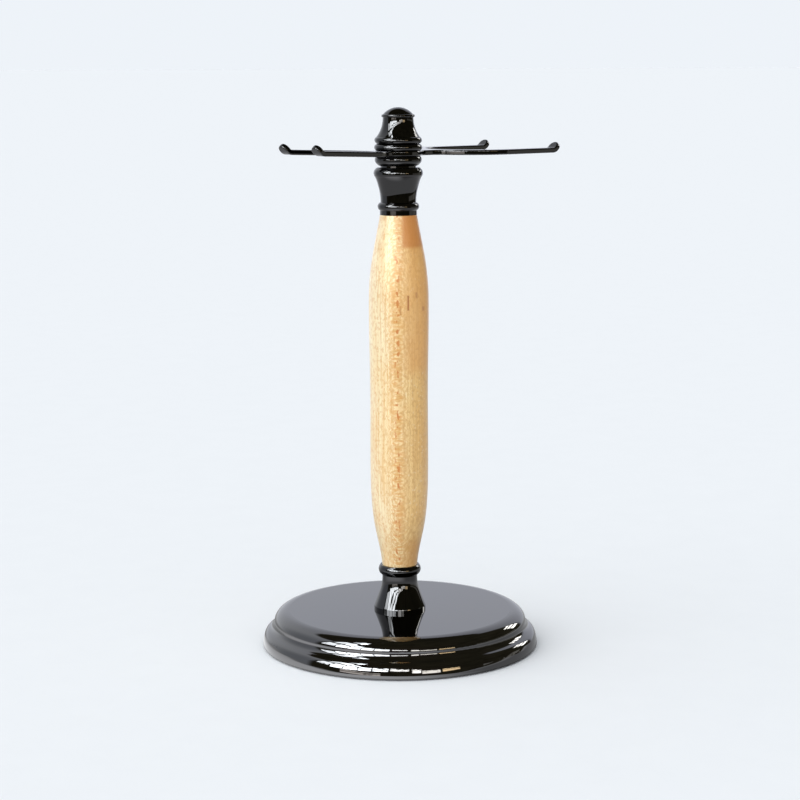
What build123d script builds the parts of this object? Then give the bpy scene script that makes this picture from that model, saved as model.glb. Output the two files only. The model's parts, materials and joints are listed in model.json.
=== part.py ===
from build123d import *
from math import cos, radians, sin
import os

# Razor stand.  Z is up, the post stands on the Z axis and z = 0 is the surface it rests on.
# The wide brush fork points along +X and the narrow razor fork along -X.  Millimetres.

# ---------------------------------------------------------------- driving dimensions
BASE_R = 47.25              # widest radius of the base
BASE_TOP = 12.4             # height of the base's flat top
HANDLE_LENGTH = 120.95      # the wood, end to end
PLATE_THICKNESS = 1.7       # hook plate sheet
BRUSH_GAP = 31.6            # clear width between the brush prongs
RAZOR_GAP = 13.2            # clear width between the razor prongs
BRUSH_REACH = 56.8          # post axis to the ends of the brush prongs, along the sheet
RAZOR_REACH = 42.7          # post axis to the ends of the razor prongs, along the sheet
THREAD_R = 2.5              # M5 screw and stud

FIT_GAP = 0.06              # radial play of a running fit
BORE_GAP = 0.2              # radial play of a plain clearance hole

# ---------------------------------------------------------------- base
RIM_BOTTOM = 0.3            # the metal rim clears the table, the pad touches it
PAD_THICKNESS = 1.6
RIM_WALL = 1.8
WALL_FOOT_TOP = 0.55        # the lower step stands straight up to here
# Going up from there, each stretch of the lower step and the cove above it: (radius, degrees
# turned). The wall leans in more and more, turns over the shoulder, and the cove turns it back up.
SHOULDER_ARCS = ((8.0, 8.0), (17.0, 5.0), (8.0, 7.0), (2.8, 48.0), (2.8, -68.0))
CROWN_WIDTH = 5.2           # how far in from the upper step's wall the flat top starts
BASE_ROOF = 2.2             # thickness under the flat top
CAVITY_R = 40.0
CAVITY_LOWER_R = 43.2
CAVITY_STEP_Z = 5.0
WEIGHT_PLAY = 0.2
HEAD_RECESS_R = 6.0
HEAD_RECESS_TOP = 7.1       # top of the screw-head recess in the weight
WASHER_THICKNESS = 1.1
WASHER_R = 4.4
HEAD_R = 4.75
HEAD_HEIGHT = 2.75
HEX_R = 1.73                # corner radius of the 3 mm key socket
HEX_DEPTH = 1.7
CUT_CLEAR = 20.0            # how far cutting tools run past a face

# ---------------------------------------------------------------- post
FERRULE_LIP_R = 8.85
FERRULE_LIP_TOP = 13.4
FERRULE_TOP = 27.9          # rim of the lower ferrule's cup
HANDLE_BOTTOM = 26.8        # floor of that cup
HANDLE_END_R = 6.0
HANDLE_TOP = HANDLE_BOTTOM + HANDLE_LENGTH
CUP_R = HANDLE_END_R + 0.05
TUBE_R = 4.5
TUBE_BORE_R = 4.05
INSERT_LENGTH = 12.0
INSERT_INSET = 0.5
SCREW_TOP = 37.0
STUD_BOTTOM = 137.0
STUD_TOP = 175.4

# ---------------------------------------------------------------- head
UPPER_FERRULE_TOP = 163.6
PLATE_BOTTOM = 167.45
PLATE_TOP = PLATE_BOTTOM + PLATE_THICKNESS
FACE_GAP = 0.04             # play between faces that turn on each other
COLLAR_TOP = 171.4
CAP_BOTTOM = 180.1
OVERALL_TOP = 183.5
SPIGOT_R = 4.0              # the finial's spigot, which centres the upper collar
DOME_R = 6.5                # sphere radius of the cap's dome
DOME_FOOT_ANGLE = 39.7      # degrees above the sphere's equator where the dome starts
CAP_PEG_R = 2.0
CAP_PEG_BOTTOM = 177.2

# ---------------------------------------------------------------- hook plate
PRONG_WIDTH = 4.2
HUB_R = 8.0
NECK_HALF = 5.0
BRUSH_NECK_BLEND = 4.0
RAZOR_NECK_BLEND = 1.2
BRUSH_SEAT_X = 17.2         # post axis to the bottom of the brush fork
RAZOR_SEAT_X = 11.5         # post axis to the bottom of the razor fork
RAZOR_RISE = 2.2            # degrees that the razor fork slopes up
RISE_START = 9.8            # post axis to the gentle fold where that slope starts
FOLD_R = 30.0               # inner radius of that fold
TIP_BEND_R = 1.6            # inner radius of the turned-up ends
TIP_BEND_ANGLE = 47.0
EDGE_SOFTEN = 0.45


def bead(x_low, z_low, x_mid, z_mid, x_high, z_high):
    """A rounded bead or hollow of a turned profile, as an arc through three points."""
    ThreePointArc((x_low, z_low), (x_mid, z_mid), (x_high, z_high))


def ring_hole(radius):
    """Cuts a hole down the whole post axis in the part being built."""
    Cylinder(radius, 2 * OVERALL_TOP, mode=Mode.SUBTRACT)


def plain_rod(radius, z_low, z_high):
    """Adds a rod on the post axis between two heights."""
    with Locations((0, 0, (z_low + z_high) / 2)):
        Cylinder(radius, z_high - z_low)


# ================================================================ base

with BuildPart() as base_cover:
    with BuildSketch(Plane.XZ):
        with BuildLine():
            Polyline((0, RIM_BOTTOM), (BASE_R, RIM_BOTTOM), (BASE_R, WALL_FOOT_TOP))
            wall_end = Vector(BASE_R, WALL_FOOT_TOP)
            wall_lean = Vector(0, 1)
            for radius, turn in SHOULDER_ARCS:
                stretch = JernArc(wall_end, wall_lean, radius, turn)
                wall_end = stretch @ 1
                wall_lean = stretch % 1
            flat_edge_r = wall_end.X - CROWN_WIDTH
            crown_height = BASE_TOP - wall_end.Y
            EllipticalCenterArc((flat_edge_r, wall_end.Y), CROWN_WIDTH, crown_height, 0, arc_size=90)
            Polyline((flat_edge_r, BASE_TOP), (0, BASE_TOP), (0, RIM_BOTTOM))
        make_face()
    revolve(axis=Axis.Z)
    with BuildSketch(Plane.XY.offset(RIM_BOTTOM)):
        Circle(BASE_R - RIM_WALL)
    extrude(amount=PAD_THICKNESS - RIM_BOTTOM, mode=Mode.SUBTRACT)
    with BuildSketch(Plane.XY.offset(PAD_THICKNESS)):
        Circle(CAVITY_LOWER_R)
    extrude(amount=CAVITY_STEP_Z - PAD_THICKNESS, mode=Mode.SUBTRACT)
    with BuildSketch(Plane.XY.offset(CAVITY_STEP_Z)):
        Circle(CAVITY_R)
    extrude(amount=BASE_TOP - BASE_ROOF - CAVITY_STEP_Z, mode=Mode.SUBTRACT)
    ring_hole(THREAD_R + BORE_GAP)
    rim_edge = base_cover.edges().filter_by(GeomType.CIRCLE).group_by(Axis.Z)[0].sort_by(SortBy.RADIUS)[-1]
    fillet(rim_edge, radius=0.5)

with BuildPart() as base_weight:
    with BuildSketch(Plane.XY.offset(PAD_THICKNESS)):
        Circle(CAVITY_LOWER_R - WEIGHT_PLAY)
    extrude(amount=CAVITY_STEP_Z - WEIGHT_PLAY - PAD_THICKNESS)
    with BuildSketch(Plane.XY.offset(CAVITY_STEP_Z - WEIGHT_PLAY)):
        Circle(CAVITY_R - WEIGHT_PLAY)
    extrude(amount=BASE_TOP - BASE_ROOF - CAVITY_STEP_Z + WEIGHT_PLAY)
    chamfer(base_weight.edges().group_by(Axis.Z)[-1], length=0.8)
    chamfer(base_weight.edges().group_by(Axis.Z)[0], length=0.6)
    ring_hole(THREAD_R + BORE_GAP)
    with BuildSketch(Plane.XY.offset(PAD_THICKNESS)):
        Circle(HEAD_RECESS_R)
    extrude(amount=HEAD_RECESS_TOP - PAD_THICKNESS, mode=Mode.SUBTRACT)

with BuildPart() as foot_pad:
    with BuildSketch():
        Circle(BASE_R - RIM_WALL - WEIGHT_PLAY)
    extrude(amount=PAD_THICKNESS)
    chamfer(foot_pad.edges().group_by(Axis.Z)[0], length=0.3)

washer_bottom = HEAD_RECESS_TOP - WASHER_THICKNESS
head_bottom = washer_bottom - HEAD_HEIGHT

with BuildPart() as base_lock_washer:
    with BuildSketch(Plane.XY.offset(washer_bottom)):
        Circle(WASHER_R)
        Circle(THREAD_R + BORE_GAP / 2, mode=Mode.SUBTRACT)
        with Locations((WASHER_R, 0)):
            Rectangle(2 * WASHER_R - 2 * THREAD_R, 0.5, rotation=20, mode=Mode.SUBTRACT)
    extrude(amount=WASHER_THICKNESS)

with BuildPart() as base_screw:
    plain_rod(THREAD_R, washer_bottom - 0.5, SCREW_TOP)
    chamfer(base_screw.edges().group_by(Axis.Z)[-1], length=0.5)
    with BuildSketch(Plane.XZ):
        with BuildLine():
            Polyline((0, head_bottom), (0, washer_bottom), (HEAD_R, washer_bottom))
            Line((HEAD_R, washer_bottom), (HEAD_R, washer_bottom - 0.4))
            bead(HEAD_R, washer_bottom - 0.4, 3.9, head_bottom + 0.7, 2.4, head_bottom)
            Line((2.4, head_bottom), (0, head_bottom))
        make_face()
    revolve(axis=Axis.Z)
    with BuildSketch(Plane.XY.offset(head_bottom)):
        RegularPolygon(HEX_R, 6)
    extrude(amount=HEX_DEPTH, mode=Mode.SUBTRACT)

# ================================================================ post

with BuildPart() as lower_ferrule:
    with BuildSketch(Plane.XZ):
        with BuildLine():
            Polyline((0, BASE_TOP), (FERRULE_LIP_R, BASE_TOP), (FERRULE_LIP_R, FERRULE_LIP_TOP))
            Line((FERRULE_LIP_R, FERRULE_LIP_TOP), (FERRULE_LIP_R - 0.05, FERRULE_LIP_TOP + 0.2))
            Spline(
                (FERRULE_LIP_R - 0.05, FERRULE_LIP_TOP + 0.2),
                (7.26, 17.6),
                (6.22, 21.0),
                (5.98, 24.3),
                tangents=((-0.43, 1), (0.0, 1)),
            )
            bead(5.98, 24.3, 7.25, 26.2, 6.55, FERRULE_TOP)
            Polyline((6.55, FERRULE_TOP), (CUP_R, FERRULE_TOP), (CUP_R, HANDLE_BOTTOM))
            Polyline((CUP_R, HANDLE_BOTTOM), (0, HANDLE_BOTTOM), (0, BASE_TOP))
        make_face()
    revolve(axis=Axis.Z)
    ring_hole(THREAD_R + BORE_GAP)

with BuildPart() as handle:
    with BuildSketch(Plane.XZ):
        with BuildLine():
            Line((0, HANDLE_BOTTOM), (HANDLE_END_R, HANDLE_BOTTOM))
            Line((HANDLE_END_R, HANDLE_BOTTOM), (HANDLE_END_R, HANDLE_BOTTOM + 1.0))
            Spline(
                (HANDLE_END_R, HANDLE_BOTTOM + 1.0),
                (6.72, 33.1),
                (8.5, 41.6),
                (9.48, 50.0),
                (9.88, 66.0),
                (9.84, 92.0),
                (10.14, 116.0),
                (9.8, 126.3),
                (8.72, 134.4),
                (7.2, 142.4),
                (6.2, HANDLE_TOP),
            )
            Polyline((6.2, HANDLE_TOP), (0, HANDLE_TOP), (0, HANDLE_BOTTOM))
        make_face()
    revolve(axis=Axis.Z)
    ring_hole(TUBE_R)

with BuildPart() as handle_tube:
    plain_rod(TUBE_R, HANDLE_BOTTOM, HANDLE_TOP)
    ring_hole(TUBE_BORE_R)

with BuildPart() as lower_insert:
    plain_rod(TUBE_BORE_R, HANDLE_BOTTOM + INSERT_INSET, HANDLE_BOTTOM + INSERT_INSET + INSERT_LENGTH)
    chamfer(lower_insert.edges().filter_by(GeomType.CIRCLE), length=0.3)
    ring_hole(THREAD_R)

with BuildPart() as upper_insert:
    plain_rod(TUBE_BORE_R, HANDLE_TOP - INSERT_INSET - INSERT_LENGTH, HANDLE_TOP - INSERT_INSET)
    chamfer(upper_insert.edges().filter_by(GeomType.CIRCLE), length=0.3)
    ring_hole(THREAD_R)

with BuildPart() as upper_ferrule:
    with BuildSketch(Plane.XZ):
        with BuildLine():
            Polyline((0, HANDLE_TOP), (6.25, HANDLE_TOP), (6.25, 149.25))
            bead(6.25, 149.25, 7.0, 150.45, 5.98, 151.95)
            Spline(
                (5.98, 151.95),
                (6.24, 155.1),
                (6.88, 157.8),
                (7.83, 160.4),
                tangents=((0, 1), (0.55, 1)),
            )
            bead(7.83, 160.4, 8.27, 161.8, 7.58, 163.15)
            bead(7.58, 163.15, 7.28, 163.45, 6.8, UPPER_FERRULE_TOP)
            Polyline((6.8, UPPER_FERRULE_TOP), (0, UPPER_FERRULE_TOP), (0, HANDLE_TOP))
        make_face()
    revolve(axis=Axis.Z)
    ring_hole(THREAD_R)

# ================================================================ head

with BuildPart() as lower_collar:
    with BuildSketch(Plane.XZ):
        with BuildLine():
            Polyline((0, UPPER_FERRULE_TOP), (6.0, UPPER_FERRULE_TOP), (6.0, 164.1))
            bead(6.0, 164.1, 6.72, 164.25, 7.22, 164.7)
            bead(7.22, 164.7, 7.89, 166.05, 7.3, PLATE_BOTTOM - FACE_GAP)
            Polyline((7.3, PLATE_BOTTOM - FACE_GAP), (0, PLATE_BOTTOM - FACE_GAP), (0, UPPER_FERRULE_TOP))
        make_face()
    revolve(axis=Axis.Z)
    ring_hole(THREAD_R)

with BuildPart() as finial_stud:
    plain_rod(THREAD_R, STUD_BOTTOM, STUD_TOP)
    chamfer(finial_stud.edges().filter_by(GeomType.CIRCLE), length=0.5)


def at_neck_side(edge):
    """True for the upright corners where a neck meets the hub or a fork."""
    upright = edge.geom_type == GeomType.LINE and abs(edge.tangent_at(0).Z) > 0.99
    return upright and abs(abs(edge.center().Y) - NECK_HALF) < 0.1


def along_outline(edge):
    """True for the plate's outer edges, and not for its bend lines, upright corners or stud hole."""
    if edge.geom_type == GeomType.LINE:
        return abs(edge.tangent_at(0).X) > 0.9
    return edge.geom_type != GeomType.CIRCLE or abs(edge.radius - THREAD_R) > 2 * FIT_GAP


def in_side_view(direction, rise, run, height):
    """A point of a fork's side view, by its run along the sheet past the fold and its height
    above the sheet's underside."""
    slope = radians(rise)
    fold_centre_z = PLATE_TOP + FOLD_R
    spoke = fold_centre_z - PLATE_BOTTOM - height
    level = RISE_START + spoke * sin(slope) + run * cos(slope)
    return Vector(direction * level, fold_centre_z - spoke * cos(slope) + run * sin(slope))


# (direction along X, clear width, post axis to the fork's bottom, post axis to its prong ends,
# degrees that it slopes up)
forks = (
    (1, BRUSH_GAP, BRUSH_SEAT_X, BRUSH_REACH, 0.0),
    (-1, RAZOR_GAP, RAZOR_SEAT_X, RAZOR_REACH, RAZOR_RISE),
)
bend_outer_r = TIP_BEND_R + PLATE_THICKNESS
tip_slope = radians(TIP_BEND_ANGLE)
tip_round_r = PRONG_WIDTH / 2   # after the bend, each prong runs on just far enough to be rounded off
tip_length = bend_outer_r * sin(tip_slope) + tip_round_r * cos(tip_slope)

with BuildPart() as hook_plate:
    # The outline seen from above: hub, necks and two U forks, as a tall block.
    with BuildSketch(Plane.XY.offset(PLATE_BOTTOM - CUT_CLEAR)):
        for direction, gap, seat_x, reach, rise in forks:
            inner = gap / 2
            outer = inner + PRONG_WIDTH
            centre_x = direction * (seat_x + inner)
            end_x = direction * (reach + PRONG_WIDTH)
            with BuildLine():
                ThreePointArc((centre_x, inner), (direction * seat_x, 0), (centre_x, -inner))
                ThreePointArc(
                    (centre_x, outer), (direction * (seat_x - PRONG_WIDTH), 0), (centre_x, -outer)
                )
                for side in (-1, 1):
                    Line((centre_x, side * inner), (end_x, side * inner))
                    Line((centre_x, side * outer), (end_x, side * outer))
                    Line((end_x, side * inner), (end_x, side * outer))
            make_face()
            with Locations((direction * (seat_x - PRONG_WIDTH / 2) / 2, 0)):
                Rectangle(seat_x - PRONG_WIDTH / 2, 2 * NECK_HALF)
        Circle(HUB_R)
        Circle(THREAD_R + FIT_GAP, mode=Mode.SUBTRACT)
    extrude(amount=2 * CUT_CLEAR + PLATE_THICKNESS)
    # The side view: a flat sheet with its ends turned up, which trims the block.
    with BuildSketch(Plane.XZ):
        for direction, gap, seat_x, reach, rise in forks:
            bend_start = reach - RISE_START - FOLD_R * radians(rise) - tip_length
            with BuildLine():
                Line((0, PLATE_BOTTOM), (0, PLATE_TOP))
                for height in (0, PLATE_THICKNESS):
                    fold_start = in_side_view(direction, 0, 0, height)
                    fold_end = in_side_view(direction, rise, 0, height)
                    Line((0, PLATE_BOTTOM + height), fold_start)
                    if rise:
                        ThreePointArc(fold_start, in_side_view(direction, rise / 2, 0, height), fold_end)
                    Line(fold_end, in_side_view(direction, rise, bend_start, height))
                tip_corners = []
                for radius in (bend_outer_r, TIP_BEND_R):
                    bend_points = [
                        in_side_view(
                            direction,
                            rise,
                            bend_start + radius * sin(turned),
                            bend_outer_r - radius * cos(turned),
                        )
                        for turned in (0, tip_slope / 2, tip_slope)
                    ]
                    ThreePointArc(*bend_points)
                    tip_corner = in_side_view(
                        direction,
                        rise,
                        bend_start + radius * sin(tip_slope) + tip_round_r * cos(tip_slope),
                        bend_outer_r - radius * cos(tip_slope) + tip_round_r * sin(tip_slope),
                    )
                    Line(bend_points[-1], tip_corner)
                    tip_corners.append(tip_corner)
                Line(*tip_corners)
            make_face()
    extrude(amount=BRUSH_GAP, both=True, mode=Mode.INTERSECT)
    # Each prong's end is rounded off, square to the turned-up tip.
    for direction, gap, seat_x, reach, rise in forks:
        tip_end = in_side_view(
            direction,
            rise,
            reach - RISE_START - FOLD_R * radians(rise),
            bend_outer_r - bend_outer_r * cos(tip_slope) + tip_round_r * sin(tip_slope),
        )
        lean = radians(rise) + tip_slope
        along_tip = Vector(direction * cos(lean), 0, sin(lean))
        off_tip = Vector(-direction * sin(lean), 0, cos(lean))
        for side in (-1, 1):
            prong_y = side * (gap + PRONG_WIDTH) / 2
            round_centre = Vector(tip_end.X, prong_y, tip_end.Y) - along_tip * tip_round_r
            with BuildSketch(Plane(round_centre, x_dir=along_tip, z_dir=off_tip)):
                with Locations((tip_round_r, 0)):
                    Rectangle(2 * tip_round_r, 2 * PRONG_WIDTH)
                Circle(tip_round_r, mode=Mode.SUBTRACT)
            extrude(amount=bend_outer_r, both=True, mode=Mode.SUBTRACT)
    neck_corners = hook_plate.edges().filter_by(at_neck_side)
    fillet(neck_corners.filter_by(lambda edge: edge.center().X > 0), radius=BRUSH_NECK_BLEND)
    neck_corners = hook_plate.edges().filter_by(at_neck_side)
    fillet(neck_corners.filter_by(lambda edge: edge.center().X < 0), radius=RAZOR_NECK_BLEND)
    fillet(hook_plate.edges().filter_by(along_outline), radius=EDGE_SOFTEN)

with BuildPart() as upper_collar:
    with BuildSketch(Plane.XZ):
        with BuildLine():
            Line((0, PLATE_TOP + FACE_GAP), (7.48, PLATE_TOP + FACE_GAP))
            bead(7.48, PLATE_TOP + FACE_GAP, 8.04, 170.4, 7.05, COLLAR_TOP)
            Polyline((7.05, COLLAR_TOP), (0, COLLAR_TOP), (0, PLATE_TOP + FACE_GAP))
        make_face()
    revolve(axis=Axis.Z)
    ring_hole(SPIGOT_R + FIT_GAP)

with BuildPart() as finial_body:
    with BuildSketch(Plane.XZ):
        with BuildLine():
            Polyline((0, PLATE_TOP + 0.3), (SPIGOT_R, PLATE_TOP + 0.3), (SPIGOT_R, COLLAR_TOP + FACE_GAP))
            Line((SPIGOT_R, COLLAR_TOP + FACE_GAP), (7.05, COLLAR_TOP + FACE_GAP))
            bead(7.05, COLLAR_TOP + FACE_GAP, 7.97, 172.6, 7.3, 173.65)
            ThreePointArc((7.3, 173.65), (5.78, 176.4), (5.15, CAP_BOTTOM))
            Polyline((5.15, CAP_BOTTOM), (0, CAP_BOTTOM), (0, PLATE_TOP + 0.3))
        make_face()
    revolve(axis=Axis.Z)
    with BuildSketch(Plane.XY.offset(PLATE_TOP)):
        Circle(THREAD_R + FIT_GAP)
    extrude(amount=STUD_TOP + 0.8 - PLATE_TOP, mode=Mode.SUBTRACT)
    with BuildSketch(Plane.XY.offset(CAP_PEG_BOTTOM)):
        Circle(CAP_PEG_R)
    extrude(amount=CAP_BOTTOM - CAP_PEG_BOTTOM, mode=Mode.SUBTRACT)

with BuildPart() as finial_cap:
    with BuildSketch(Plane.XZ):
        with BuildLine():
            Polyline((0, CAP_PEG_BOTTOM), (CAP_PEG_R, CAP_PEG_BOTTOM), (CAP_PEG_R, CAP_BOTTOM))
            Line((CAP_PEG_R, CAP_BOTTOM), (5.2, CAP_BOTTOM))
            bead(5.2, CAP_BOTTOM, 5.6, 180.65, 5.2, 181.15)
            dome = CenterArc((0, OVERALL_TOP - DOME_R), DOME_R, DOME_FOOT_ANGLE, 90 - DOME_FOOT_ANGLE)
            Line((5.2, 181.15), dome @ 0)
            Line((0, OVERALL_TOP), (0, CAP_PEG_BOTTOM))
        make_face()
    revolve(axis=Axis.Z)

# ================================================================ output

pieces = {
    "base_cover": base_cover,
    "base_weight": base_weight,
    "foot_pad": foot_pad,
    "base_screw": base_screw,
    "base_lock_washer": base_lock_washer,
    "lower_ferrule": lower_ferrule,
    "handle": handle,
    "handle_tube": handle_tube,
    "lower_insert": lower_insert,
    "upper_insert": upper_insert,
    "upper_ferrule": upper_ferrule,
    "lower_collar": lower_collar,
    "hook_plate": hook_plate,
    "upper_collar": upper_collar,
    "finial_body": finial_body,
    "finial_cap": finial_cap,
    "finial_stud": finial_stud,
}

os.makedirs("parts", exist_ok=True)
for name, piece in pieces.items():
    piece.part.label = name
    export_step(piece.part, f"parts/{name}.step")
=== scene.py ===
import json
import math

import bmesh
import bpy
from mathutils import Matrix, Vector

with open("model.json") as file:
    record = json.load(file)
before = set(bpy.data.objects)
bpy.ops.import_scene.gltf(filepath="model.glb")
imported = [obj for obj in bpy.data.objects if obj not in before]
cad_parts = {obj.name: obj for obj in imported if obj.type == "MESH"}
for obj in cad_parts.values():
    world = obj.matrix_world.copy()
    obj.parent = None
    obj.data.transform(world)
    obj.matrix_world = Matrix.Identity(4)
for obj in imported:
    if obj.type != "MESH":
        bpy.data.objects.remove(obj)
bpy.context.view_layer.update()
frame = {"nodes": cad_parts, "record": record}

# ---------------------------------------------------------------- camera and view
VIEW_AZIMUTH = math.radians(-40.0)      # 0 looks along +Y
VIEW_DISTANCE = 0.7027                  # post axis to camera, along the table
VIEW_HEIGHT = 0.1964                    # camera above the table
VIEW_PITCH = math.radians(9.02)         # camera tilted down
VIEW_ROLL = math.radians(-0.21)
VIEW_SIDE = 0.0003                      # camera to the right of the post axis
LENS_MM = 94.2
SENSOR_MM = 36.0

VIEW_RIGHT = Vector((math.cos(VIEW_AZIMUTH), math.sin(VIEW_AZIMUTH), 0))
VIEW_AWAY = Vector((-math.sin(VIEW_AZIMUTH), math.cos(VIEW_AZIMUTH), 0))


def make_camera():
    """The camera, at the photograph's viewing angle."""
    data = bpy.data.cameras.new("camera")
    data.lens = LENS_MM
    data.sensor_width = SENSOR_MM
    data.clip_end = 1000
    camera = bpy.data.objects.new("camera", data)
    place = VIEW_RIGHT * VIEW_SIDE - VIEW_AWAY * VIEW_DISTANCE + Vector((0, 0, VIEW_HEIGHT))
    turn = Matrix.Rotation(VIEW_AZIMUTH, 4, "Z") @ Matrix.Rotation(math.pi / 2 - VIEW_PITCH, 4, "X")
    camera.matrix_world = Matrix.Translation(place) @ turn @ Matrix.Rotation(VIEW_ROLL, 4, "Z")
    bpy.context.scene.collection.objects.link(camera)
    bpy.context.scene.camera = camera


# ---------------------------------------------------------------- shader building
class Graph:
    """Adds shader nodes to a node tree and links them."""

    def __init__(self, tree):
        self.tree = tree
        tree.nodes.clear()

    def node(self, kind, inputs=None, **settings):
        """Adds a node. Inputs are values or other nodes' outputs, by name or number."""
        node = self.tree.nodes.new(kind)
        for name, value in settings.items():
            setattr(node, name, value)
        for key, value in (inputs or {}).items():
            if isinstance(value, bpy.types.NodeSocket):
                self.tree.links.new(value, node.inputs[key])
            else:
                node.inputs[key].default_value = value
        return node

    def math(self, operation, a, b=0.0, clamp=False):
        """One arithmetic step."""
        return self.node("ShaderNodeMath", {0: a, 1: b}, operation=operation, use_clamp=clamp).outputs[0]

    def scaled(self, value, factor, offset):
        """value * factor + offset."""
        inputs = {0: value, 1: factor, 2: offset}
        return self.node("ShaderNodeMath", inputs, operation="MULTIPLY_ADD").outputs[0]

    def product(self, first, *others):
        """The product of two or more values."""
        for other in others:
            first = self.math("MULTIPLY", first, other)
        return first

    def dot(self, vector, direction):
        """The part of a vector along a direction."""
        inputs = {0: vector, 1: tuple(direction)}
        return self.node("ShaderNodeVectorMath", inputs, operation="DOT_PRODUCT").outputs["Value"]

    def ramp(self, value, low, high, out_low=0.0, out_high=1.0):
        """A smooth step from out_low to out_high as value goes from low to high."""
        inputs = {"Value": value, "From Min": low, "From Max": high, "To Min": out_low, "To Max": out_high}
        return self.node("ShaderNodeMapRange", inputs, interpolation_type="SMOOTHSTEP").outputs["Result"]

    def band(self, value, low, high, soft):
        """1 between low and high, falling smoothly to 0 over soft on each side."""
        rise = self.ramp(value, low - soft, low + soft)
        fall = self.ramp(value, high - soft, high + soft, 1.0, 0.0)
        return self.product(rise, fall)

    def noise(self, vector, scale, detail=2.0, roughness=0.5, distortion=0.0):
        """Cloudy noise from 0 to 1."""
        inputs = {
            "Vector": vector,
            "Scale": scale,
            "Detail": detail,
            "Roughness": roughness,
            "Distortion": distortion,
        }
        return self.node("ShaderNodeTexNoise", inputs).outputs["Fac"]

    def stretch(self, vector, scale):
        """A vector multiplied by three factors."""
        return self.node("ShaderNodeVectorMath", {0: vector, 1: scale}, operation="MULTIPLY").outputs[0]

    def stretched_noise(self, vector, scale, detail=2.0, roughness=0.5):
        """Noise with its own scale along each axis."""
        return self.noise(self.stretch(vector, scale), 1.0, detail, roughness)

    def blend(self, factor, a, b, blend_type="MIX"):
        """Mixes two colours."""
        inputs = {"Factor": factor, 6: a, 7: b}
        node = self.node("ShaderNodeMix", inputs, data_type="RGBA", blend_type=blend_type)
        return node.outputs[2]


def rgb(red, green, blue):
    """A colour with full alpha."""
    return (red, green, blue, 1.0)


def new_material(name):
    """An empty material and its graph."""
    material = bpy.data.materials.new(name)
    material.use_nodes = True
    return material, Graph(material.node_tree)


def close_surface(graph, inputs, height=None, height_distance=0.0, height_strength=1.0):
    """Ends a material in a Principled shader, with an optional bump."""
    if height is not None:
        bump = {"Height": height, "Distance": height_distance, "Strength": height_strength}
        inputs["Normal"] = graph.node("ShaderNodeBump", bump).outputs["Normal"]
    shader = graph.node("ShaderNodeBsdfPrincipled", inputs)
    graph.node("ShaderNodeOutputMaterial", {"Surface": shader.outputs["BSDF"]})


# ---------------------------------------------------------------- materials
# Lengths are in metres and noise scales in cycles per metre.
HAZE_AMOUNT = 0.01          # how much of the plating's roughness polishing haze adds
SMUDGE_AMOUNT = 0.03        # and how much faint smudges add
PEEL_DEPTH = 0.000003


def gunmetal(name, tone, roughness):
    """Polished black-nickel plating: faint smudges, polishing haze and orange peel."""
    material, graph = new_material(name)
    place = graph.node("ShaderNodeTexCoord").outputs["Object"]
    smudge = graph.ramp(graph.noise(place, 70, 4, 0.6, 0.4), 0.5, 0.85)
    haze = graph.noise(graph.stretch(place, (1, 1, 6)), 600, 3)
    rough = graph.scaled(smudge, SMUDGE_AMOUNT, roughness)
    rough = graph.math("ADD", rough, graph.math("MULTIPLY", haze, HAZE_AMOUNT))
    warm = graph.noise(place, 25, 2)
    colour = graph.blend(warm, rgb(tone, tone, tone * 1.05), rgb(tone * 1.06, tone * 1.03, tone))
    peel = graph.noise(place, 350, 2)
    inputs = {"Base Color": colour, "Metallic": 1.0, "Roughness": rough}
    close_surface(graph, inputs, peel, PEEL_DEPTH)
    return material


# Noise patterns of the wood: (scales along X, along Y and along the post), detail, roughness
WOOD_PATTERNS = {
    "ripple": ((200, 200, 870), 1, 0.4),
    "swell": ((70, 70, 50), 2, 0.5),
    "drift": ((30, 30, 6), 1, 0.5),
    "rungs": ((420, 420, 1300), 1, 0.4),
    "pores": ((1000, 1000, 560), 1, 0.4),
    "grain": ((1150, 1150, 800), 2, 0.5),
    "fibre": ((1500, 1500, 40), 3, 0.6),
    "streak": ((420, 420, 12), 3, 0.55),
    "fleck": ((1300, 1300, 900), 2, 0.5),
    "cloud": ((120, 120, 45), 3, 0.55),
}
RING_SPACING = 0.00030
RING_SHIFTS = {"ripple": 0.0007, "swell": 0.0009, "drift": 0.004}    # how far each pattern bends the rings
COLUMN_MIDDLE = -0.0006     # where the growth rings lie flat to the surface, measured right of the axis
COLUMN_HALF = 0.0021
COLUMN_SOFT = 0.0014
CORE_HALF = 0.0008
CORE_SOFT = 0.0005
LIT_LEFT_WOOD = ((0.86, 0.82, 0.60), (0.84, 0.75, 0.49))      # on the left, paler with painted light: pale and darker clouds
SHADED_RIGHT_WOOD = ((0.94, 0.64, 0.23), (0.90, 0.55, 0.16))    # on the right, darker orange with painted shade
LIGHT_TO_SHADE_HALF = 0.0105         # painted light on the left turns to painted shade on the right over this distance each side of the axis
STREAK_COLOUR = (0.80, 0.49, 0.18)
# painted shade: darker towards the right edge of the handle
RIGHT_EDGE_SHADE_COLOUR = (0.74, 0.38, 0.10)
RING_COLOUR = (0.68, 0.36, 0.09)
FIBRE_COLOUR = (0.68, 0.38, 0.12)
GRAIN_COLOUR = (0.62, 0.31, 0.08)
FLECK_COLOUR = (0.96, 0.84, 0.58)
RUNG_COLOUR = (0.70, 0.32, 0.06)
PORE_COLOUR = (0.60, 0.19, 0.02)
STAIN_AND_SHADE_FADE = 0.003          # stains and painted shade fade in over this depth in front of the axis
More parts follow.
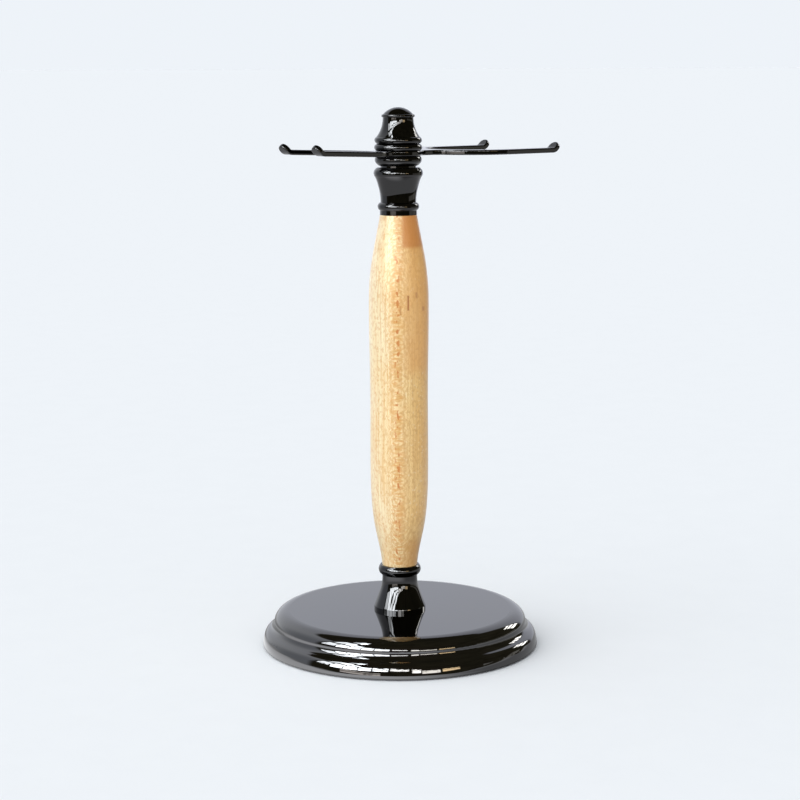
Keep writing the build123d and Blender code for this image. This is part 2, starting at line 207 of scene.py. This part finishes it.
# (left, right, low, high, softness, amount, colour) of darker patches on the front of the handle: painted
# shade at the upper right, dark streaks and marks in the wood, and a darker lower right
STAINS_AND_SHADE = (
    # painted shade: broad darker orange over the upper right
    (0.0020, 0.0130, 0.0950, 0.1500, 0.0035, 0.45, (0.74, 0.33, 0.085)),
    # painted shade: sharp-edged darker patch at the top right
    (0.0012, 0.0120, 0.1372, 0.1500, 0.0008, 0.8, (0.60, 0.215, 0.04)),
    (0.0029, 0.0034, 0.1165, 0.1215, 0.00025, 0.95, (0.40, 0.11, 0.015)),
    (0.0004, 0.0008, 0.1150, 0.1180, 0.00025, 0.5, (0.42, 0.14, 0.03)),
    (0.0056, 0.0062, 0.1205, 0.1225, 0.0004, 0.6, (0.45, 0.13, 0.03)),
    (0.0078, 0.0086, 0.1160, 0.1175, 0.0004, 0.6, (0.45, 0.13, 0.03)),
    # darker orange towards the bottom right of the front
    (0.0020, 0.0100, 0.0270, 0.0375, 0.0028, 0.6, (0.66, 0.29, 0.06)),
)
LACQUER = {"Coat Weight": 0.7, "Coat Roughness": 0.37, "Specular IOR Level": 0.5}
WOOD_RELIEF = 0.00002


def maple():
    """Turned maple: painted light on the left turning to painted shade on the right, growth rings with a
    laddered figure, pores, satin lacquer.
    """
    material, graph = new_material("maple_wood")
    place = graph.node("ShaderNodeTexCoord").outputs["Object"]
    across = graph.dot(place, VIEW_RIGHT)
    toward = graph.dot(place, -VIEW_AWAY)
    height = graph.dot(place, (0, 0, 1))
    pattern = {name: graph.stretched_noise(place, *settings) for name, settings in WOOD_PATTERNS.items()}

    # growth rings: thin sheets that face the front of the post, gently rippled
    depth = toward
    for name, shift in RING_SHIFTS.items():
        depth = graph.math("ADD", depth, graph.math("MULTIPLY", pattern[name], shift))
    phase = graph.math("MULTIPLY", depth, 2 * math.pi / RING_SPACING)
    ring = graph.math("POWER", graph.scaled(graph.math("SINE", phase), 0.5, 0.5), 2.0)
    # down the column where the rings lie flat, the figure breaks into short rungs and dark pores
    column = graph.band(across, COLUMN_MIDDLE - COLUMN_HALF, COLUMN_MIDDLE + COLUMN_HALF, COLUMN_SOFT)
    core = graph.band(across, COLUMN_MIDDLE - CORE_HALF, COLUMN_MIDDLE + CORE_HALF, CORE_SOFT)

    cloudy = graph.ramp(pattern["cloud"], 0.35, 0.65)
    lit_wood = graph.blend(cloudy, *(rgb(*tint) for tint in LIT_LEFT_WOOD))
    shaded_wood = graph.blend(cloudy, *(rgb(*tint) for tint in SHADED_RIGHT_WOOD))
    # painted light and shade: paler on the left, darker orange on the right
    colour = graph.blend(graph.ramp(across, -LIGHT_TO_SHADE_HALF, LIGHT_TO_SHADE_HALF), lit_wood, shaded_wood)
    rungs = graph.ramp(pattern["rungs"], 0.50, 0.62)
    pores = graph.ramp(pattern["pores"], 0.56, 0.64)
    # (how much of the colour shows, colour), from the bottom layer up
    layers = [
        (graph.ramp(pattern["streak"], 0.42, 0.75, 0.0, 0.45), STREAK_COLOUR),
        # painted shade: darker towards the right edge
        (graph.ramp(across, 0.0045, LIGHT_TO_SHADE_HALF, 0.0, 0.5), RIGHT_EDGE_SHADE_COLOUR),
        (graph.product(ring, graph.scaled(column, 0.34, 0.42)), RING_COLOUR),
        (graph.ramp(pattern["fibre"], 0.42, 0.68, 0.0, 0.6), FIBRE_COLOUR),
        (graph.ramp(pattern["grain"], 0.50, 0.62, 0.0, 0.45), GRAIN_COLOUR),
        (graph.ramp(pattern["fleck"], 0.6, 0.7, 0.0, 0.3), FLECK_COLOUR),
        (graph.product(rungs, column, 0.6), RUNG_COLOUR),
        (graph.product(pores, core, 0.95), PORE_COLOUR),
    ]
    # darker patches: painted shade at the upper right, and stains and streaks
    for left, right, low, high, soft, amount, tint in STAINS_AND_SHADE:
        side = graph.band(across, left, right, soft)
        level = graph.band(height, low, high, soft)
        front = graph.ramp(toward, 0.0, STAIN_AND_SHADE_FADE, 0.0, amount)
        layers.append((graph.product(side, level, front), tint))
    for amount, tint in layers:
        colour = graph.blend(amount, colour, rgb(*tint))

    fibre_relief = graph.math("MULTIPLY", pattern["fibre"], 0.6)
    relief = graph.math("ADD", fibre_relief, graph.math("MULTIPLY", ring, -0.3))
    inputs = {"Base Color": colour, "Roughness": graph.scaled(pattern["fibre"], 0.14, 0.27), **LACQUER}
    close_surface(graph, inputs, relief, WOOD_RELIEF)
    return material


TOOL_MARK_DEPTH = 0.00003


def plain_metal(name, colour, roughness, grain_axis_scale):
    """A worked metal with fine tool lines and patchy tone."""
    material, graph = new_material(name)
    place = graph.node("ShaderNodeTexCoord").outputs["Object"]
    lines = graph.stretched_noise(place, grain_axis_scale, 3, 0.6)
    patch = graph.noise(place, 220, 3)
    dark = rgb(*(c * 0.72 for c in colour))
    inputs = {
        "Base Color": graph.blend(patch, dark, rgb(*colour)),
        "Metallic": 1.0,
        "Roughness": graph.scaled(lines, 0.25, roughness),
    }
    close_surface(graph, inputs, lines, TOOL_MARK_DEPTH)
    return material


IRON_COLOUR = (0.06, 0.058, 0.056)
RUST_COLOUR = (0.16, 0.08, 0.045)
CAST_PIT_DEPTH = 0.00015


def cast_iron():
    """Sand-cast iron: pitted, dark and dull."""
    material, graph = new_material("cast_iron")
    place = graph.node("ShaderNodeTexCoord").outputs["Object"]
    pits = graph.noise(place, 1400, 4, 0.65)
    rust = graph.ramp(graph.noise(place, 120, 4, 0.6), 0.55, 0.75, 0.0, 0.35)
    colour = graph.blend(rust, rgb(*IRON_COLOUR), rgb(*RUST_COLOUR))
    inputs = {"Base Color": colour, "Metallic": 0.7, "Roughness": 0.7}
    close_surface(graph, inputs, pits, CAST_PIT_DEPTH)
    return material


RUBBER_COLOUR = (0.018, 0.018, 0.019)
DUST_COLOUR = (0.075, 0.073, 0.07)
RUBBER_GRAIN_DEPTH = 0.00006


def pad_rubber():
    """Matte black rubber with a fine grain and dust."""
    material, graph = new_material("pad_rubber")
    place = graph.node("ShaderNodeTexCoord").outputs["Object"]
    grain = graph.noise(place, 2600, 3, 0.6)
    dust = graph.ramp(graph.noise(place, 90, 4, 0.6), 0.5, 0.8, 0.0, 0.25)
    colour = graph.blend(dust, rgb(*RUBBER_COLOUR), rgb(*DUST_COLOUR))
    inputs = {"Base Color": colour, "Roughness": graph.scaled(grain, 0.15, 0.75)}
    close_surface(graph, inputs, grain, RUBBER_GRAIN_DEPTH)
    return material


FLOOR_DARK = (0.765, 0.803, 0.845)
FLOOR_LIGHT = (0.789, 0.827, 0.868)
# painted reflection: the table glows for glossy rays though it is no lamp
PAINTED_GLOW_COLOUR = (0.95, 0.97, 1.0)
NEAR_PAINTED_GLOW = (0.45, 2.1)            # painted glow beside the base, as mirrored: away from and towards the windows
FAR_PAINTED_GLOW = 0.8
PAINTED_GLOW_SPREAD = (0.08, 0.2)          # the near painted glow gives way to the far one between these radii
CONTACT_SHADE = 0.35                # painted contact shadow: mirrored brightness right at the base's edge
CONTACT_REACH = (0.0468, 0.0495)


def floor_material():
    """Pale, faintly mottled table top. Polished metal sees it brighter towards the windows: for glossy rays
    it glows with a painted reflection and a painted contact shadow at the base's edge.
    """
    material, graph = new_material("pale_floor")
    place = graph.node("ShaderNodeTexCoord").outputs["Object"]
    mottle = graph.noise(place, 60, 4, 0.6)
    colour = graph.blend(mottle, rgb(*FLOOR_DARK), rgb(*FLOOR_LIGHT))
    matte = graph.node("ShaderNodeBsdfDiffuse", {"Color": colour})
    right = graph.dot(place, VIEW_RIGHT)
    front = graph.dot(place, -VIEW_AWAY)
    reach = graph.node("ShaderNodeVectorMath", {0: place}, operation="LENGTH").outputs["Value"]
    left_front = graph.math("ADD", graph.math("MULTIPLY", right, -0.6), graph.math("MULTIPLY", front, 0.75))
    lit = graph.math("DIVIDE", left_front, graph.math("MAXIMUM", reach, 0.001))
    near = graph.ramp(lit, 0.1, 0.95, *NEAR_PAINTED_GLOW)
    far_share = graph.ramp(reach, *PAINTED_GLOW_SPREAD)
    far_part = graph.math("MULTIPLY", far_share, FAR_PAINTED_GLOW)
    near_part = graph.product(graph.math("SUBTRACT", 1.0, far_share), near)
    contact = graph.ramp(reach, *CONTACT_REACH, CONTACT_SHADE, 1.0)
    strength = graph.product(graph.math("ADD", far_part, near_part), contact)
    # painted reflection: glow seen only by glossy rays
    painted_glow = graph.node("ShaderNodeEmission", {"Color": rgb(*PAINTED_GLOW_COLOUR), "Strength": strength})
    path = graph.node("ShaderNodeLightPath")
    inputs = {0: path.outputs["Is Glossy Ray"], 1: matte.outputs[0], 2: painted_glow.outputs[0]}
    shader = graph.node("ShaderNodeMixShader", inputs)
    graph.node("ShaderNodeOutputMaterial", {"Surface": shader.outputs[0]})
    return material


def dress_nodes():
    """Gives every CAD node its material. The base's plating mirrors a little more than the rest."""
    plating = gunmetal("gunmetal_plating", 0.055, 0.015)
    base_plating = gunmetal("gunmetal_base_plating", 0.12, 0.012)
    sheet = gunmetal("gunmetal_sheet_plating", 0.055, 0.04)
    steel = plain_metal("zinc_steel", (0.62, 0.63, 0.64), 0.22, (900, 900, 5000))
    brass = plain_metal("drawn_brass", (0.72, 0.50, 0.22), 0.18, (3000, 3000, 60))
    finishes = {
        "gunmetal": plating,
        "gunmetal_sheet": sheet,
        "maple": maple(),
        "brass": brass,
        "steel": steel,
        "iron": cast_iron(),
        "pad_rubber": pad_rubber(),
    }
    for subpart in frame["record"]["subparts"]:
        node = frame["nodes"][subpart["node"]]
        finish = base_plating if subpart["node"] == "base_cover" else finishes[subpart["material_slot"]]
        for slot in node.material_slots:
            slot.material = finish


# ---------------------------------------------------------------- floor, light and surroundings
TABLE_RADIUS = 0.6          # the part of the table that polished metal mirrors
TABLE_SHIFT = 0.22          # how far back from the post its middle lies
TABLE_TURN = math.radians(25.0)
FAR_FLOOR_RADIUS = 400.0
FAR_FLOOR_DROP = 0.0001
FLOOR_SIDES = 128


def make_floor():
    """A flat pale floor: a table top, and far floor under it that polished metal doesn't mirror."""
    material = floor_material()
    table_middle = (VIEW_AWAY * math.cos(TABLE_TURN) - VIEW_RIGHT * math.sin(TABLE_TURN)) * TABLE_SHIFT
    far_middle = Vector((0, 0, -FAR_FLOOR_DROP))
    for name, middle, radius in (
        ("floor_near", table_middle, TABLE_RADIUS),
        ("floor_far", far_middle, FAR_FLOOR_RADIUS),
    ):
        shape = bmesh.new()
        bmesh.ops.create_circle(shape, cap_ends=True, segments=FLOOR_SIDES, radius=radius)
        bmesh.ops.translate(shape, verts=shape.verts, vec=middle)
        mesh = bpy.data.meshes.new(name)
        shape.to_mesh(mesh)
        shape.free()
        floor = bpy.data.objects.new(name, mesh)
        mesh.materials.append(material)
        bpy.context.scene.collection.objects.link(floor)
        floor.visible_glossy = name == "floor_near"


# Bright window panes and pale things in the dark half of the room, as the plating mirrors them,
# in degrees: (azimuth from, to, elevation from, to at the left, to at the right, colour, strength).
# Azimuth 0 is towards the camera.
DAYLIGHT = (0.92, 0.97, 1.0)
WINDOWS = (
    (-76, -62, 15, 72, 70, DAYLIGHT, 9.0),
    (-60, -49, 10, 72, 64, DAYLIGHT, 18.0),
    (-48, -36, 9, 44, 36, DAYLIGHT, 18.0),
    (-35, -24, 8, 32, 28, DAYLIGHT, 18.0),
    (-23, -10, 8, 27, 23, DAYLIGHT, 18.0),
    (-8, 7, 13, 23, 18, (1.0, 1.0, 0.98), 12.0),
    (10, 17, 6, 19, 16, (1.0, 0.98, 0.93), 11.0),
    (18, 33, 4, 13, 12, (1.0, 0.96, 0.88), 7.0),
    (-50, -16, -4, 6, 5, (1.0, 0.93, 0.86), 2.5),
    (35, 50, 5, 13, 12, (1.0, 0.74, 0.42), 6.5),
    (72, 128, -14, 5, 5, (1.0, 0.98, 0.88), 0.6),
    (128, 141, 14, 31, 31, (1.0, 0.99, 0.94), 10.0),
)
# Dark bars across every pane, as parts of its height: (from, to).
BARS = ((0.38, 0.50), (0.74, 0.84))
BAR_SOFT = 0.02
PANE_SOFT = 0.5             # degrees
ROOM = (-80, 142, 4)        # the dark room on the horizon: azimuth from, to, softness, in degrees
CEILING = (46, 50)          # elevation above which all is dark
ROOM_DARK = (0.01, 0.01, 0.008)
ROOM_LIGHT = (0.13, 0.115, 0.07)
BACKDROP_LEFT_END = (0.62, 0.66, 0.72)
BACKDROP_LEFT = (1.05, 1.09, 1.15)
BACKDROP_RIGHT = (0.80, 0.83, 0.93)
SURROUND_SEEN = (0.855, 0.897, 0.945)       # what the camera sees beyond the floor
DAYLIGHT_FROM = (-0.8, 0.45, 0.42)          # parts right, towards the camera, up
DAYLIGHT_MEAN = 0.80
DAYLIGHT_SWING = 0.85
DAYLIGHT_LEAST = 0.05


def make_world():
    """Surroundings: plain and pale to the eye, and for reflections a white backdrop and a dark room."""
    world = bpy.data.worlds.new("surroundings")
    bpy.context.scene.world = world
    world.use_nodes = True
    graph = Graph(world.node_tree)
    direction = graph.node("ShaderNodeTexCoord").outputs["Generated"]
    right = graph.dot(direction, VIEW_RIGHT)
    front = graph.dot(direction, -VIEW_AWAY)
    up = graph.dot(direction, (0, 0, 1))
    degrees = 180 / math.pi
    azimuth = graph.math("MULTIPLY", graph.math("ARCTAN2", right, front), degrees)
    elevation = graph.math("MULTIPLY", graph.math("ARCSINE", up), degrees)

    dark = graph.math("MAXIMUM", graph.band(azimuth, *ROOM), graph.ramp(elevation, *CEILING))
    room_colour = graph.blend(graph.noise(direction, 5, 3, 0.6), rgb(*ROOM_DARK), rgb(*ROOM_LIGHT))
    backdrop = graph.blend(graph.ramp(right, -0.7, 0.1), rgb(*BACKDROP_LEFT), rgb(*BACKDROP_RIGHT))
    backdrop = graph.blend(graph.ramp(right, -0.98, -0.6), rgb(*BACKDROP_LEFT_END), backdrop)
    mirrored = graph.blend(dark, backdrop, room_colour)
    # trees outside dim parts of each pane
    foliage = graph.ramp(graph.noise(direction, 10, 3, 0.6), 0.30, 0.52, 0.35, 1.0)
    for low_az, high_az, low_el, left_el, right_el, colour, strength in WINDOWS:
        slope = (right_el - left_el) / (high_az - low_az)
        top = graph.scaled(azimuth, slope, left_el - slope * low_az)
        under_top = graph.ramp(graph.math("SUBTRACT", elevation, top), -PANE_SOFT, PANE_SOFT, 1.0, 0.0)
        over_sill = graph.ramp(elevation, low_el - PANE_SOFT, low_el + PANE_SOFT)
        pane = graph.product(graph.band(azimuth, low_az, high_az, PANE_SOFT), under_top, over_sill)
        span = graph.math("SUBTRACT", top, low_el)
        level = graph.math("DIVIDE", graph.math("SUBTRACT", elevation, low_el), span)
        for bar_low, bar_high in BARS:
            gap = graph.math("SUBTRACT", 1.0, graph.band(level, bar_low, bar_high, BAR_SOFT))
            pane = graph.product(pane, gap)
        pane = graph.product(pane, foliage)
        mirrored = graph.blend(pane, mirrored, rgb(*(strength * c for c in colour)))

    # daylight from the front left
    part_right, part_front, part_up = DAYLIGHT_FROM
    toward_light = VIEW_RIGHT * part_right - VIEW_AWAY * part_front + Vector((0, 0, part_up))
    glow = graph.dot(direction, toward_light.normalized())
    daylight = graph.math("MAXIMUM", graph.scaled(glow, DAYLIGHT_SWING, DAYLIGHT_MEAN), DAYLIGHT_LEAST)
    path = graph.node("ShaderNodeLightPath")
    seen = graph.blend(path.outputs["Is Glossy Ray"], daylight, mirrored)
    seen = graph.blend(path.outputs["Is Camera Ray"], seen, rgb(*SURROUND_SEEN))
    background = graph.node("ShaderNodeBackground", {"Color": seen, "Strength": 1.0})
    graph.node("ShaderNodeOutputWorld", {"Surface": background.outputs[0]})


def make_sun(name, azimuth_deg, elevation_deg, spread_deg, strength, colour):
    """A large soft light, far away. Azimuth 0 is towards the camera."""
    data = bpy.data.lights.new(name, "SUN")
    data.angle = math.radians(spread_deg)
    data.energy = strength
    data.color = colour
    azimuth = math.radians(azimuth_deg)
    elevation = math.radians(elevation_deg)
    level = VIEW_RIGHT * math.sin(azimuth) - VIEW_AWAY * math.cos(azimuth)
    toward = level * math.cos(elevation) + Vector((0, 0, math.sin(elevation)))
    light = bpy.data.objects.new(name, data)
    light.location = toward
    light.rotation_euler = toward.to_track_quat("Z", "Y").to_euler()
    light.visible_glossy = False
    bpy.context.scene.collection.objects.link(light)


make_camera()
make_floor()
make_world()
make_sun("key_light", -60, 35, 45, 0.4, (1.0, 0.98, 0.95))
bpy.context.scene.view_settings.view_transform = "Standard"
dress_nodes()
